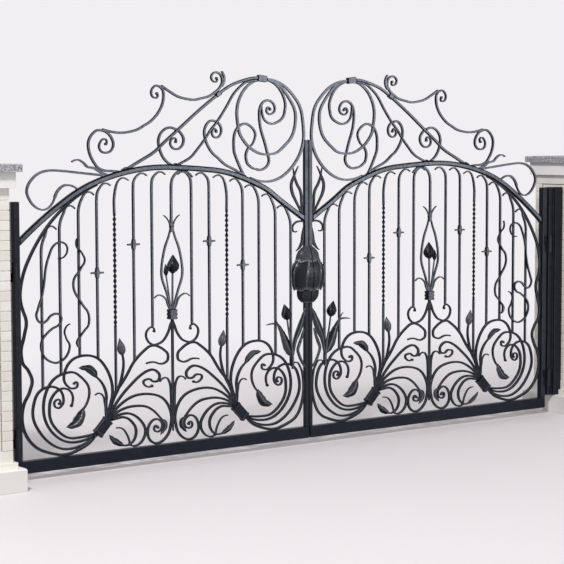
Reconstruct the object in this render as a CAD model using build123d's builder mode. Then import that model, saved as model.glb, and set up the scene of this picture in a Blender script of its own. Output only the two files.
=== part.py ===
from build123d import *
from cmath import phase
from math import cos, radians, sin, sqrt, tan
import os

os.makedirs("parts", exist_ok=True)

# Double-leaf wrought iron driveway gate on two brick pillars, in millimetres.
# The origin is the middle of the left pillar's foot, +Z is up and -Y is the front.

# Masonry pillars
clear_width = 4900.0  # between the two shafts
shaft_side = 510.0
shaft_height = 1857.0
plinth_height = 140.0
plinth_margin = 65.0  # how far the plinth stands out from the shaft
base_course_height = 38.0
base_course_margin = 22.0
border_width = 73.0  # plain border round each brick field
field_recess = 10.0
cornice_height = 97.0
cornice_margin = 32.0
cap_height = 49.0
cap_margin = 64.0
cap_edge = 14.0

# Hinge posts: a wide box on the pillar and a narrow one that carries the hinges
post_height = 1765.0
wide_post_width = 75.0
wide_post_depth = 90.0
narrow_post_side = 50.0

# Leaf frame
meeting_gap = 10.0
hinge_gap = 23.0
hinge_stile_width = 40.0
hinge_stile_depth = 50.0
hinge_stile_top = 1763.0
meeting_stile_width = 26.0
meeting_stile_depth = 32.0
meeting_stile_top = 2140.0
rail_bottom = 45.0
rail_height = 80.0
rail_depth = 50.0
arch_width = 38.0
arch_depth = 32.0

# Bars
picket = 16.0  # side of the square pickets
scroll_bar = 16.0  # face width of the scrolls
scroll_depth = 18.0
heavy_bar = 20.0  # crest rails and the wave bar
tip_width = 9.0
twist_low = 935.0  # grid height where a twisted picket's twist starts
twist_high = 1640.0
twist_turns = 8  # full turns in the twist
twist_corner = 12.0  # from the middle of the twisted bar to its corners
twist_groove = 7.0  # and to the grooves between them
rim_rise = 5.0  # how much wider a collar's rims are than its band
cross_reach = 34.0  # from the middle of a forged cross to its end
cross_width = 27.0
cross_arm = 48.0
heading_play = 0.15  # how far a bend's end may turn from its aim, in radians
seat = 2.0  # how far a bar is let into the piece that it is cut back to
layer = 16.0  # thickness of the bars that lie in front of the pickets

# Hinges
pin_radius = 9.0
pin_clearance = 0.4
knuckle_radius = 17.0
knuckle_height = 62.0
knuckle_gap = 2.0
pin_forward = 44.0  # how far the pins stand in front of the gate's middle plane
strap_thickness = 8.0
strap_reach = 34.0
hinge_heights = (280.0, 1325.0)

# Worked out from the values above
gate_middle_x = shaft_side / 2 + clear_width / 2
post_inner = clear_width / 2 - wide_post_width - narrow_post_side
leaf_reach = post_inner - hinge_gap
leaf_edge = meeting_gap / 2
hinge_face = leaf_reach - hinge_stile_width
meeting_face = leaf_edge + meeting_stile_width
rail_top = rail_bottom + rail_height
shaft_base = plinth_height + base_course_height
pin_x = gate_middle_x - leaf_reach - hinge_gap / 2
post_strap_back = narrow_post_side / 2

# The ironwork is set out on a grid: the first number is the distance from the meeting
# line towards the hinge, the second the height above the ground.
grid_hinge_face = 2262.0
grid_meeting_face = 31.0
grid_rail_top = 125.0
grid_crest = 2600.0
crest_height = 2600.0
grid_middle = 1125.0  # the lower ornament and the pickets mirror about this line

leaf_face = Plane(origin=(gate_middle_x, 0, 0), x_dir=(-1, 0, 0), z_dir=(0, 1, 0))
mirror_plane = Plane(origin=(gate_middle_x, 0, 0), z_dir=(1, 0, 0))


def place(point):
    """A grid point as a place on the leaf, measured from the meeting line and the ground."""
    across = (point[0] - grid_meeting_face) / (grid_hinge_face - grid_meeting_face)
    up = (point[1] - grid_rail_top) / (grid_crest - grid_rail_top)
    return complex(
        meeting_face + across * (hinge_face - meeting_face),
        rail_top + up * (crest_height - rail_top),
    )


def opposite(points):
    """The same points on the other side of the ornament's middle line."""
    return [(2 * grid_middle - across, up) for across, up in points]


def pair(number):
    """A complex number as an x, y pair."""
    return (number.real, number.imag)


def tangent_arcs(points, straight_start=False):
    """Arcs through the points, each tangent to the next, as (start, middle, end, headings)."""
    knots = [place(point) for point in points]
    headings = []
    for before, here, after in zip(knots, knots[1:], knots[2:]):
        into = here - before
        out = after - here
        turn = into * abs(out) / abs(into) + out * abs(into) / abs(out)
        headings.append(turn / abs(turn))
    if not headings:
        headings.append((knots[1] - knots[0]) / abs(knots[1] - knots[0]))
    first = (knots[1] - knots[0]) / abs(knots[1] - knots[0])
    last = (knots[-1] - knots[-2]) / abs(knots[-1] - knots[-2])
    if straight_start:
        headings[0] = first
    if len(knots) == 2:
        headings = [first, first]
    else:
        headings = [first**2 / headings[0]] + headings + [last**2 / headings[-1]]
    arcs = []
    heading = headings[0]
    for start, end, goal in zip(knots, knots[1:], headings[1:]):
        chord = end - start
        both = heading + goal
        a = 2 * (1 - (heading * goal.conjugate()).real)
        b = 2 * (chord * both.conjugate()).real
        one_arc = abs((chord / abs(chord)) ** 2 / heading - goal) < heading_play
        if one_arc:
            arcs.append(one_tangent_arc(start, heading, end))
            heading = arcs[-1][4]
            continue
        if a < 1e-9:
            reach = abs(chord) ** 2 / b
        else:
            reach = (-b + sqrt(b * b + 4 * a * abs(chord) ** 2)) / (2 * a)
        joint = (start + end + reach * (heading - goal)) / 2
        arcs.append(one_tangent_arc(start, heading, joint))
        arcs.append(one_tangent_arc(joint, arcs[-1][4], end))
        heading = arcs[-1][4]
    return arcs


def one_tangent_arc(start, heading, end):
    """The arc that leaves start along heading and reaches end: points, headings, length."""
    chord = end - start
    half_turn = phase(chord / heading)
    middle = start + chord / 2 - 1j * chord / 2 * tan(half_turn / 2)
    end_heading = (chord / abs(chord)) ** 2 / heading
    length = abs(chord)
    if abs(half_turn) > 1e-6:
        length = abs(chord) * half_turn / sin(half_turn)
    return (start, middle, end, heading, end_heading, length)


def width_along(widths, share):
    """The width at a share of the bar's length, from widths spaced evenly along it."""
    step = share * (len(widths) - 1)
    low = min(int(step), len(widths) - 2)
    return widths[low] + (widths[low + 1] - widths[low]) * (step - low)


def edge_arc(start, middle, end):
    """An arc through three points, or a line where they are straight."""
    sag = abs(middle - (start + end) / 2)
    if sag < 0.02 or abs(end - start) < 0.5:
        Line(pair(start), pair(end))
    else:
        ThreePointArc(pair(start), pair(middle), pair(end))


def band(points, widths, straight_start=False):
    """The two long edges of a bar along the points, with its widths spaced along it."""
    arcs = tangent_arcs(points, straight_start)
    total = sum(arc[5] for arc in arcs)
    left = []
    right = []
    done = 0.0
    for start, middle, end, heading, end_heading, length in arcs:
        chord_heading = (end - start) / abs(end - start)
        shares = (done / total, (done + length / 2) / total, (done + length) / total)
        half = [width_along(widths, share) / 2 for share in shares]
        steps = [
            1j * heading * half[0],
            1j * chord_heading * half[1],
            1j * end_heading * half[2],
        ]
        left.append((start + steps[0], middle + steps[1], end + steps[2]))
        right.append((start - steps[0], middle - steps[1], end - steps[2]))
        done += length
    return left, right


def forge(points, widths, depth=scroll_depth, eye=0.0, forward=0.0, straight_start=False):
    """A flat-sided bar along the points, centred on the leaf or moved forward from it."""
    left, right = band(points, widths, straight_start)
    with BuildSketch(leaf_face.offset(-forward)) as face:
        with BuildLine():
            for start, middle, end in left:
                edge_arc(start, middle, end)
            Line(pair(left[-1][2]), pair(right[-1][2]))
            for start, middle, end in reversed(right):
                edge_arc(end, middle, start)
            Line(pair(right[0][0]), pair(left[0][0]))
        make_face()
    extrude(face.sketch, amount=depth / 2, both=True)
    if eye:
        with BuildSketch(leaf_face.offset(-forward)) as disc:
            with Locations(pair(place(points[-1]))):
                Circle(eye)
        extrude(disc.sketch, amount=depth / 2 + 1, both=True)


def height_on(points, across):
    """The height at which a run of grid points passes a distance across the leaf."""
    for one, two in zip(points, points[1:]):
        if min(one[0], two[0]) <= across <= max(one[0], two[0]):
            share = (across - one[0]) / (two[0] - one[0])
            return one[1] + share * (two[1] - one[1])
    return points[-1][1]


def slab(low, high):
    """A box between two corners, each given as x, y, z."""
    with Locations(tuple((a + b) / 2 for a, b in zip(low, high))):
        Box(*[b - a for a, b in zip(low, high)])


def bud(base, tip, radius, forward=0.0):
    """A closed flower bud, turned about the line from its base to its tip."""
    foot = place(base)
    point = place(tip)
    axis = point - foot
    side = -1j * axis / abs(axis)
    with BuildSketch(leaf_face.offset(-forward)) as profile:
        with BuildLine():
            Polyline(
                pair(foot),
                pair(foot + side * radius * 0.35),
                pair(foot + axis * 0.16 + side * radius * 0.84),
                pair(foot + axis * 0.36 + side * radius),
                pair(foot + axis * 0.64 + side * radius * 0.72),
                pair(point),
                close=True,
            )
        make_face()
    start = leaf_face.offset(-forward).from_local_coords(Vector(foot.real, foot.imag, 0))
    stop = leaf_face.offset(-forward).from_local_coords(Vector(point.real, point.imag, 0))
    revolve(profile.sketch, axis=Axis(origin=start, direction=stop - start))


# ---- Pillars ----

with BuildPart() as plinth:
    side = shaft_side + 2 * plinth_margin
    Box(side, side, plinth_height, align=(Align.CENTER, Align.CENTER, Align.MIN))
    chamfer(plinth.edges().group_by(Axis.Z)[-1], length=6)

with BuildPart() as shaft:
    course = shaft_side + 2 * base_course_margin
    with BuildSketch(Plane.XY.offset(plinth_height)):
        Rectangle(course, course)
    extrude(amount=base_course_height)
    with BuildSketch(Plane.XY.offset(shaft_base)):
        Rectangle(shaft_side, shaft_side)
    extrude(amount=shaft_height - shaft_base)
    field = shaft_side - 2 * border_width
    for turn in range(4):
        with BuildSketch(Plane.XZ.rotated((0, 0, 90 * turn)).offset(shaft_side / 2)):
            with Locations((0, (shaft_base + border_width + shaft_height) / 2)):
                Rectangle(field, shaft_height - shaft_base - border_width)
        extrude(amount=-field_recess, mode=Mode.SUBTRACT)

with BuildPart() as cornice:
    side = shaft_side + 2 * cornice_margin
    with BuildSketch(Plane.XY.offset(shaft_height)):
        Rectangle(side, side)
    extrude(amount=cornice_height)

with BuildPart() as cap:
    side = shaft_side + 2 * cap_margin
    with BuildSketch(Plane.XY.offset(shaft_height + cornice_height)):
        Rectangle(side, side)
    extrude(amount=cap_height)
    fillet(cap.edges().filter_by(Axis.Z), radius=cap_edge)
    chamfer(cap.edges().group_by(Axis.Z)[-1], length=cap_edge / 2)

# The hinge post stands on the plinth against the shaft.
with BuildPart() as hinge_post:
    wide_x = gate_middle_x - clear_width / 2
    narrow_x = wide_x + wide_post_width
    with BuildSketch(Plane.XY.offset(plinth_height)):
        with Locations((wide_x + wide_post_width / 2, 0)):
            Rectangle(wide_post_width, wide_post_depth)
        with Locations((narrow_x + narrow_post_side / 2, 0)):
            Rectangle(narrow_post_side, narrow_post_side)
    extrude(amount=post_height - plinth_height)

with BuildPart() as shaft_notched:
    add(shaft.part)
    add(hinge_post.part, mode=Mode.SUBTRACT)

# ---- Leaf frame ----

with BuildPart() as hinge_stile:
    slab(
        (gate_middle_x - leaf_reach, -hinge_stile_depth / 2, rail_top),
        (gate_middle_x - hinge_face, hinge_stile_depth / 2, hinge_stile_top),
    )

with BuildPart() as meeting_stile:
    slab(
        (gate_middle_x - meeting_face, -meeting_stile_depth / 2, rail_top),
        (gate_middle_x - leaf_edge, meeting_stile_depth / 2, meeting_stile_top),
    )

with BuildPart() as bottom_rail:
    slab(
        (gate_middle_x - leaf_reach, -rail_depth / 2, rail_bottom),
        (gate_middle_x - leaf_edge, rail_depth / 2, rail_top),
    )

arch = [
    (2275, 1494), (2100, 1639), (1900, 1778), (1700, 1875), (1400, 1949),
    (1125, 1963), (800, 1941), (600, 1900), (400, 1825), (200, 1698), (20, 1584),
]

with BuildPart() as arch_rail:
    forge(arch, (arch_width, arch_width), depth=arch_depth)
    add(hinge_stile.part, mode=Mode.SUBTRACT)
    add(meeting_stile.part, mode=Mode.SUBTRACT)

wave = [
    (1690, 1862), (1800, 1810), (1900, 1745), (2000, 1660), (2100, 1545), (2200, 1380),
    (2253, 1200), (2240, 1090), (2213, 1000), (2228, 925), (2253, 815), (2245, 755),
    (2200, 690), (2178, 630), (2195, 565), (2240, 480), (2253, 400), (2240, 320),
    (2190, 235), (2100, 172), (2000, 140), (1900, 140), (1810, 170), (1728, 232),
]

meeting_wave = [
    (140, 570), (100, 586), (64, 545), (42, 460), (44, 340), (75, 245),
    (150, 174), (250, 140), (350, 140), (440, 170), (522, 232),
]

with BuildPart() as wave_bar:
    forge(wave, (heavy_bar, heavy_bar))
    forge(meeting_wave, (tip_width, scroll_bar, heavy_bar, heavy_bar))
    add(hinge_stile.part, mode=Mode.SUBTRACT)
    add(meeting_stile.part, mode=Mode.SUBTRACT)
    add(bottom_rail.part, mode=Mode.SUBTRACT)
    add(arch_rail.part, mode=Mode.SUBTRACT)

# ---- Pickets ----
# Each picket is (distance across, foot height, apex, tip): it rises straight, then bends
# over towards the middle of the leaf and ends in a drooping tip.

def crook(across, foot, carrier, half_carrier, lean, reach, droop):
    """A picket's path: up, over against the carrier's underside and down to the tip."""
    crest_x = across + lean * reach
    top = height_on(carrier, crest_x) - half_carrier - picket / 2 + seat
    shoulder_x = across + lean * reach * 0.35
    shoulder = height_on(carrier, shoulder_x) - half_carrier - picket / 2 + seat
    shoulder = min(shoulder, top) - 22
    return [
        (across, foot),
        (across, shoulder - 95),
        (shoulder_x, shoulder),
        (crest_x, top),
        (crest_x + lean * 45, top - droop),
    ]


def picket_bar(path):
    """A picket along its path, tapering over the drooping tip."""
    forge(path, (picket,) * 9 + (tip_width,), depth=picket, straight_start=True)


def knuckle(across, up):
    """A forged cross on a picket: a swelling with two short arms."""
    low = [(across, up - cross_reach), (across, up)]
    high = [(across, up), (across, up + cross_reach)]
    forge(low, (picket, cross_width), depth=cross_width)
    forge(high, (cross_width, picket), depth=cross_width)
    for side in (-1, 1):
        forge([(across, up), (across + side * cross_arm, up)], (20, 14, 11), depth=14)


def twisted_length(low, high):
    """A grooved square bar twisted about its own length between two places, in facets."""
    steps = 12 * twist_turns
    rings = []
    for step in range(steps + 1):
        height = low.imag + (high.imag - low.imag) * step / steps
        corners = []
        for corner in range(8):
            angle = radians(30 * step + 45 * corner + 45)
            reach = twist_groove if corner % 2 else twist_corner
            corners.append(Vector(
                gate_middle_x - low.real + reach * cos(angle), reach * sin(angle), height,
            ))
        rings.append(corners)
    faces = [Face(Wire.make_polygon(rings[0])), Face(Wire.make_polygon(rings[-1]))]
    for lower, upper in zip(rings, rings[1:]):
        for corner in range(8):
            beside = (corner + 1) % 8
            faces.append(Face(Wire.make_polygon([lower[corner], lower[beside], upper[corner]])))
            faces.append(Face(Wire.make_polygon([lower[beside], upper[beside], upper[corner]])))
    return Solid(Shell(faces))


with BuildPart() as plain_bars:
    picket_bar(crook(2102, 572, wave, heavy_bar / 2, -1, 66, 23))
    picket_bar(crook(1970, 656, wave, heavy_bar / 2, -1, 70, 21))
    picket_bar(crook(1832, 768, wave, heavy_bar / 2, -1, 72, 21))
    picket_bar(crook(1281, 915, arch, arch_width / 2, -1, 61, 18))
    picket_bar(crook(971, 915, arch, arch_width / 2, 1, 61, 18))
    picket_bar(crook(419, 768, arch, arch_width / 2, 1, 71, 17))
    picket_bar(crook(280, 656, arch, arch_width / 2, 1, 70, 14))
    picket_bar(crook(148, 572, arch, arch_width / 2, 1, 72, 16))
    add(arch_rail.part, mode=Mode.SUBTRACT)
    add(wave_bar.part, mode=Mode.SUBTRACT)

with BuildPart() as knuckle_bars:
    for across, foot, up, lean in (
        (1697, 735, 1291, -1), (1422, 700, 1464, -1), (829, 700, 1464, 1), (554, 735, 1291, 1),
    ):
        picket_bar(crook(across, foot, arch, arch_width / 2, lean, 60, 16))
        knuckle(across, up)
    add(arch_rail.part, mode=Mode.SUBTRACT)
    add(wave_bar.part, mode=Mode.SUBTRACT)

with BuildPart() as twisted_bars:
    for across, lean in ((1565, -1), (686, 1)):
        path = crook(across, 1640, arch, arch_width / 2, lean, 65, 16)
        picket_bar(path)
        forge([(across, 500), (across, twist_low)], (picket, picket), depth=picket)
        add(twisted_length(place((across, twist_low)), place((across, twist_high))))
    add(arch_rail.part, mode=Mode.SUBTRACT)

# ---- Scroll bouquets ----
# Long scrolls of one bouquet. They rise out of a collar that leans over at the rail.

collar_foot = (1710, 241)
collar_head = (1626, 329)

low_scrolls = [
    ([(1700, 252), (1800, 190), (1920, 168), (2010, 190), (2100, 260), (2160, 350),
      (2176, 440), (2155, 520), (2110, 568), (2050, 582), (1985, 558), (1957, 510),
      (1964, 458), (1998, 440), (2022, 462), (2008, 492), (1980, 486), (1984, 466)], 9),
    ([(1700, 252), (1800, 214), (1880, 207), (2000, 250), (2070, 330), (2100, 430),
      (2090, 520), (2050, 600), (1980, 650), (1910, 663), (1850, 645), (1790, 590),
      (1765, 520), (1780, 460), (1815, 412)], 0),
    ([(1700, 252), (1800, 237), (1880, 234), (1960, 260), (2030, 330), (2058, 420),
      (2045, 500), (2000, 550), (1950, 562), (1905, 540), (1886, 490), (1898, 445)], 9),
]
fan_scrolls = [
    ([(1635, 320), (1610, 420), (1592, 500), (1600, 580), (1666, 706), (1750, 757),
      (1850, 757), (1925, 705), (1950, 640), (1930, 580), (1885, 556), (1852, 572),
      (1860, 596), (1876, 586)], 7),
    ([(1635, 320), (1642, 420), (1640, 500), (1665, 565), (1698, 604), (1718, 622)], 0),
    ([(1635, 320), (1598, 430), (1530, 570), (1510, 650), (1514, 745)], 0),
    ([(1635, 320), (1600, 450), (1490, 600), (1420, 700), (1350, 760), (1300, 788),
      (1250, 785), (1205, 762), (1163, 717), (1166, 686), (1190, 668), (1225, 664),
      (1280, 680), (1334, 674)], 0),
    ([(1635, 320), (1570, 425), (1480, 520), (1420, 570), (1350, 615), (1300, 630), (1252, 616),
      (1230, 585), (1240, 556), (1270, 549), (1320, 570), (1356, 552), (1340, 527),
      (1290, 522)], 9),
    ([(1635, 320), (1560, 400), (1480, 450), (1400, 472), (1340, 473), (1250, 455),
      (1180, 405), (1146, 340), (1142, 260), (1165, 190), (1212, 146), (1262, 136),
      (1305, 158), (1326, 205), (1318, 255), (1285, 292), (1240, 292), (1213, 262),
      (1222, 224), (1252, 212), (1276, 232), (1260, 254), (1247, 240)], 9),
    ([(1635, 320), (1540, 380), (1440, 400), (1370, 396), (1300, 370), (1250, 328),
      (1215, 290)], 0),
    ([(1635, 320), (1560, 350), (1500, 358), (1445, 347), (1390, 310), (1352, 260),
      (1345, 210), (1372, 160), (1420, 136), (1462, 146)], 8),
    ([(1635, 318), (1570, 330), (1510, 334), (1452, 302), (1417, 245), (1424, 190),
      (1462, 152), (1515, 148)], 0),
]
fan_tendrils = [
    [(1641, 345), (1645, 400), (1652, 442), (1660, 481), (1680, 504), (1704, 508),
     (1723, 497)],
    [(1464, 150), (1472, 185), (1484, 213), (1503, 243), (1533, 265), (1568, 268)],
]


def bouquet(turned):
    """The scrolls and tendrils of one bouquet, cut back to the collar and the frame."""
    for points, end in low_scrolls + fan_scrolls:
        widths = (scroll_bar, scroll_bar, scroll_bar, tip_width + 2)
        forge(turned(points), widths, eye=end)
    for points in fan_tendrils:
        forge(turned(points), (14, 13, tip_width), depth=layer - 4)


def collar(foot, head, width, depth, rims=((0.0, 0.12), (0.88, 1.0))):
    """A wrapped collar: a block from foot to head with raised rims across it."""
    forge([foot, head], (width, width), depth=depth)
    for start, stop in rims:
        across = head[0] - foot[0]
        up = head[1] - foot[1]
        low = (foot[0] + across * start, foot[1] + up * start)
        high = (foot[0] + across * stop, foot[1] + up * stop)
        forge([low, high], (width + rim_rise, width + rim_rise), depth=depth + rim_rise)


with BuildPart() as bouquet_collars:
    collar(collar_foot, collar_head, 66, 34)
    low_side, high_side = opposite([collar_foot, collar_head])
    collar(low_side, high_side, 66, 34)

bouquets = {}
for name, turned in (("hinge_bouquet", list), ("middle_bouquet", opposite)):
    with BuildPart() as scrolls:
        bouquet(turned)
        for carrier in (
            bouquet_collars, wave_bar, bottom_rail, hinge_stile, meeting_stile,
            plain_bars, knuckle_bars, twisted_bars,
        ):
            add(carrier.part, mode=Mode.SUBTRACT)
    bouquets[name] = scrolls

# ---- Crest ----

crest_rail = [
    (1495, 1940), (1400, 1990), (1300, 2040), (1150, 2150), (1000, 2265), (800, 2412),
    (700, 2478), (600, 2525), (500, 2553), (388, 2558),
]
inner_crest_rail = [
    (1108, 1965), (1060, 1985), (1000, 2012), (900, 2100), (830, 2185), (750, 2275),
    (650, 2415), (600, 2475), (550, 2515), (480, 2540), (388, 2545),
]

with BuildPart() as crest_rails:
    forge(crest_rail, (heavy_bar, heavy_bar), depth=20)
    forge(inner_crest_rail, (scroll_bar, scroll_bar))
    for foot, head, width in (
        ((425, 2561), (352, 2553), 44), ((768, 2437), (732, 2459), 30),
        ((1112, 1963), (1084, 1981), 28), ((1500, 1938), (1466, 1956), 34),
    ):
        forge([foot, head], (width, width), depth=30)
    add(arch_rail.part, mode=Mode.SUBTRACT)

outer_oval = [
    (344, 2553), (244, 2531), (162, 2481), (94, 2412), (48, 2312), (34, 2200),
    (46, 2094), (81, 2019), (131, 1956), (200, 1900), (275, 1866), (350, 1855),
    (425, 1862), (490, 1882),
]
inner_oval = [
    (400, 2552), (500, 2512), (550, 2462), (581, 2406), (597, 2300), (581, 2200),
    (544, 2137), (481, 2081), (425, 2053), (362, 2041), (300, 2044), (237, 2069),
    (169, 2125), (119, 2200), (103, 2294), (130, 2385), (212, 2487), (330, 2548),
]

with BuildPart() as crest_ovals:
    forge(outer_oval, (scroll_bar, scroll_bar))
    forge(inner_oval, (scroll_bar, scroll_bar))
    add(crest_rails.part, mode=Mode.SUBTRACT)
    add(arch_rail.part, mode=Mode.SUBTRACT)
    add(meeting_stile.part, mode=Mode.SUBTRACT)

crest_curls = [
    ([(337, 2546), (275, 2519), (225, 2469), (197, 2412), (194, 2350), (209, 2300),
      (250, 2266), (300, 2250), (350, 2262), (382, 2300), (392, 2370)], 0),
    ([(437, 1940), (395, 1937), (350, 1960), (332, 2000), (345, 2050), (360, 2100),
      (385, 2170), (407, 2250), (412, 2325), (395, 2380), (350, 2409), (300, 2394),
      (281, 2356), (300, 2322), (335, 2318), (352, 2343), (334, 2362), (322, 2348)], 9),
    ([(545, 1905), (587, 1981), (616, 2044), (625, 2106), (622, 2162), (606, 2206),
      (575, 2237), (537, 2250), (487, 2234), (453, 2200), (447, 2162), (462, 2125),
      (494, 2094)], 0),
    ([(494, 2094), (519, 2062), (525, 2025), (516, 1987), (494, 1964), (462, 1946),
      (425, 1940)], 0),
    ([(530, 1892), (587, 1925), (662, 1959), (737, 2006), (806, 2062), (847, 2125),
      (862, 2175), (856, 2225), (831, 2259), (795, 2270), (755, 2257), (728, 2222),
      (732, 2180), (765, 2157), (795, 2170), (800, 2200), (778, 2216), (768, 2197)], 9),
    ([(1110, 1972), (1169, 2006), (1205, 2055), (1224, 2120), (1205, 2188),
      (1162, 2219), (1110, 2220), (1052, 2190), (1028, 2144), (1041, 2104),
      (1080, 2082), (1120, 2094), (1133, 2124), (1117, 2150), (1091, 2150),
      (1090, 2130)], 9),
    ([(1200, 2497), (1162, 2475), (1100, 2441), (1037, 2419), (975, 2409), (912, 2412),
      (850, 2425), (787, 2452), (740, 2487), (716, 2531), (727, 2572), (760, 2592),
      (796, 2580), (803, 2550), (783, 2530), (759, 2536), (762, 2553)], 9),
    ([(1648, 2212), (1600, 2200), (1537, 2191), (1475, 2192), (1412, 2203),
      (1350, 2228), (1287, 2262), (1237, 2306), (1197, 2365), (1182, 2420),
      (1192, 2474), (1232, 2497), (1268, 2478), (1276, 2442), (1253, 2418),
      (1228, 2426), (1234, 2446)], 9),
    ([(1505, 1935), (1575, 1944), (1630, 1947), (1675, 1962), (1712, 2000),
      (1742, 2055), (1753, 2110), (1740, 2160), (1700, 2200), (1650, 2205),
      (1600, 2181), (1570, 2135), (1573, 2092), (1605, 2065), (1645, 2065),
      (1672, 2095), (1663, 2132), (1640, 2150), (1617, 2140), (1624, 2118)], 9),
]
hinge_loop = [
    [(1625, 1915), (1762, 1930), (1887, 1944), (2000, 1954), (2075, 1949),
     (2135, 1923), (2178, 1880), (2197, 1830), (2182, 1778), (2144, 1731),
     (2100, 1709), (2062, 1711), (2025, 1737), (2000, 1781)],
    [(2000, 1781), (1975, 1828), (1942, 1854), (1900, 1859), (1860, 1848), (1828, 1828)],
    [(1595, 1912), (1662, 1937), (1712, 1964), (1762, 1975), (1790, 2000),
     (1830, 2019), (1875, 2006)],
    [(722, 2500), (700, 2548), (720, 2600)],
]

with BuildPart() as crest_scrolls:
    for points, end in crest_curls:
        forge(points, (scroll_bar, scroll_bar, scroll_bar, tip_width + 2), eye=end)
    for carrier in (crest_rails, crest_ovals, arch_rail):
        add(carrier.part, mode=Mode.SUBTRACT)

with BuildPart() as crest_loops:
    for points in hinge_loop:
        forge(points, (scroll_bar, scroll_bar - 1, tip_width))
    for carrier in (crest_rails, crest_ovals, arch_rail, crest_scrolls):
        add(carrier.part, mode=Mode.SUBTRACT)

# ---- Middle of the leaf ----

spine_x = grid_middle + 2.0
basket_foot = 955.0  # grid height where the basket's collar stands on the spine

with BuildPart() as centre_scrolls:
    forge([(spine_x, 205), (spine_x, basket_foot)], (8,) + (picket,) * 7, depth=picket)
    curls = (
        ([(spine_x, 945), (1141, 920), (1157, 877), (1186, 831), (1225, 803), (1277, 795),
          (1317, 820), (1333, 862), (1318, 898), (1295, 911), (1272, 903), (1270, 884)], 8),
        ([(1139, 340), (1140, 420), (1143, 490), (1152, 533), (1177, 566), (1205, 565),
          (1230, 543)], 0),
    )
    for points, end in curls:
        for side in (points, [(2 * spine_x - across, up) for across, up in points]):
            forge(side, (scroll_bar - 2, scroll_bar - 2, tip_width), eye=end)
    for carrier in (
        plain_bars, bouquets["hinge_bouquet"], bouquets["middle_bouquet"], bottom_rail,
    ):
        add(carrier.part, mode=Mode.SUBTRACT)

with BuildPart() as tulip_basket:
    picket_bar([
        (spine_x + 2, 1560), (spine_x + 2, 1820), (1107, 1905), (1062, 1938),
        (1005, 1930), (960, 1895),
    ])
    add(arch_rail.part, mode=Mode.SUBTRACT)
    add(plain_bars.part, mode=Mode.SUBTRACT)
    collar((spine_x, basket_foot), (spine_x, 1022), 52, 44,
           rims=((0.04, 0.22), (0.4, 0.6), (0.78, 0.96)))
    basket_bars = (
        ([(spine_x + 8, 1015), (1165, 1120), (1195, 1200), (1209, 1290), (1182, 1430),
          (1147, 1520), (1137, 1560), (1152, 1612), (1190, 1647)], 14),
        ([(spine_x + 12, 1012), (1158, 1045), (1180, 1096), (1215, 1119), (1265, 1102)], 11),
    )
    for points, width in basket_bars:
        for side in (points, [(2 * spine_x - across, up) for across, up in points]):
            forge(side, (width, width, width, 6), depth=14)
    collar((spine_x, 1535), (spine_x, 1575), 24, 22)
    forge([(spine_x - 2, 1015), (spine_x - 5, 1275)], (12, 10), depth=12)
    bud((spine_x - 5, 1262), (spine_x - 7, 1384), 35)
    forge([(1137, 1015), (1152, 1120), (1174, 1256)], (9, 9), depth=9)
    bud((1173, 1246), (1176, 1326), 14)

# ---- Leaves and buds of the bouquets ----

with BuildPart() as bouquet_leaves:
    for turned in (list, opposite):
        for points, widths in (
            ([(1812, 424), (1826, 386), (1850, 346), (1888, 320), (1940, 311)],
             (14, 58, 70, 42, 3)),
            ([(1710, 614), (1738, 652), (1780, 680), (1845, 686)], (14, 46, 50, 30, 3)),
            ([(1214, 292), (1190, 258), (1200, 222), (1228, 188)], (10, 40, 42, 24, 3)),
            ([(1513, 148), (1552, 167), (1590, 193), (1620, 228)], (12, 36, 44, 30, 3)),
        ):
            forge(turned(points), widths, depth=10)
        base, tip = turned([(1514, 742), (1536, 856)])
        bud(base, tip, 23)
    for carrier in (
        bouquets["hinge_bouquet"], bouquets["middle_bouquet"], bottom_rail,
        plain_bars, knuckle_bars, twisted_bars,
    ):
        add(carrier.part, mode=Mode.SUBTRACT)

# ---- Ribbon and vine in front of the pickets ----

front_layer = (picket + layer) / 2

with BuildPart() as hinge_ribbon:
    ribbon = [
        (1991, 1396), (1940, 1412), (1922, 1456), (1940, 1490), (1975, 1500),
        (2020, 1480), (2059, 1406), (2085, 1300), (2106, 1175), (2137, 1087),
        (2150, 1040), (2137, 1009), (2106, 994), (2075, 1009), (2050, 1035),
        (2019, 1047), (1987, 1041), (1972, 1016), (1985, 980), (2044, 950),
        (2095, 908), (2120, 849), (2105, 790), (2063, 749), (2023, 734), (1983, 740),
        (1935, 775), (1914, 831), (1940, 890), (1950, 930), (1931, 966), (1909, 975),
    ]
    vine = [
        (1853, 1519), (1859, 1480), (1815, 1422), (1797, 1385), (1831, 1319),
        (1878, 1255), (1878, 1195), (1825, 1106), (1772, 1025), (1772, 968),
        (1812, 918), (1845, 880),
    ]
    forge(ribbon, (8, 14, 14, 14, 14, 14, 14, 8), depth=layer, forward=front_layer)
    forge(vine, (8, 14, 14, 12), depth=layer, forward=front_layer)
    forge([(1843, 884), (1856, 855), (1834, 812)], (10, 26, 3), depth=layer,
          forward=front_layer)

# ---- Lilies along the meeting stile ----

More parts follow.
